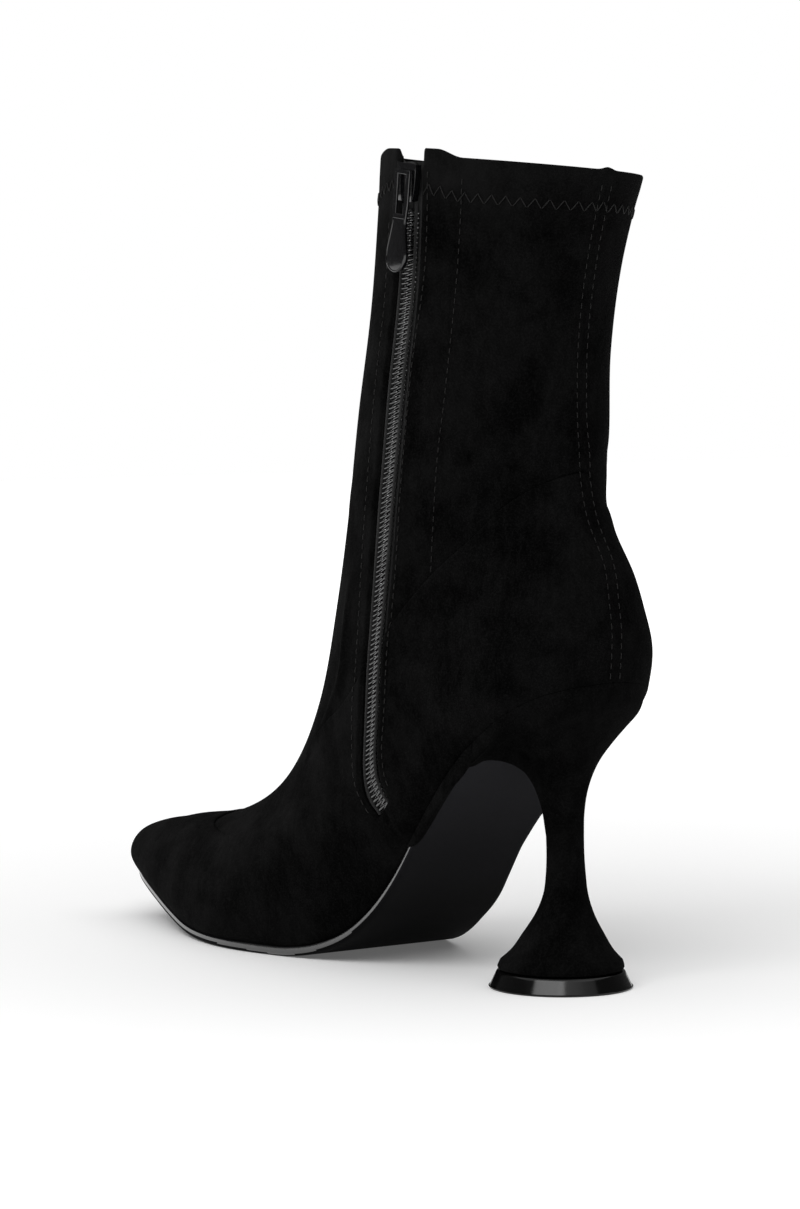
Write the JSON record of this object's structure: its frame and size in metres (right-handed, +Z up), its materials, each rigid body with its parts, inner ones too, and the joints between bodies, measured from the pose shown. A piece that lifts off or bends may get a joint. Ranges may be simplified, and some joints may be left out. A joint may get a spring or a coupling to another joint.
{
  "type": "heeled ankle boot",
  "caption": "Pointed-toe suede ankle boot with an inner side zip, thin sole and flared spool heel; a hollow, open-topped shoe that stands on its own.",
  "frame": {"origin": "middle of the boot's box, on the floor", "axes": "+Z up, toe towards -Y, inner side with the zip towards +X"},
  "size_m": [0.0798, 0.2352, 0.2412],
  "materials": {
    "upper_suede": "black stretch microsuede, matt nap",
    "outsole_rubber": "matt dark underside, gloss black edge",
    "heel_suede": "black suede wrap",
    "gloss_lift": "polished black",
    "insole_lining": "smooth dark lining",
    "zip_weave": "woven black tape",
    "zip_nylon": "black nylon coil",
    "lacquered_metal": "gloss black lacquer"
  },
  "bodies": {
    "boot": {"upper": "upper_suede", "outsole": "outsole_rubber", "heel": "heel_suede", "heel_lift": "gloss_lift", "insole": "insole_lining", "zip_tape_front": "zip_weave", "zip_tape_rear": "zip_weave", "zip_coil": "zip_nylon", "zip_slider": "lacquered_metal"},
    "pull": {"zip_pull": "lacquered_metal"}
  },
  "joints": [
    {"name": "pull_swing", "type": "hinge", "parent": "boot", "child": "pull", "pos_m": [0.03783, 0.06654, 0.23534], "axis": [-0.0197, -0.993, 0.1167], "range_deg": [-3, 150]}
  ]
}
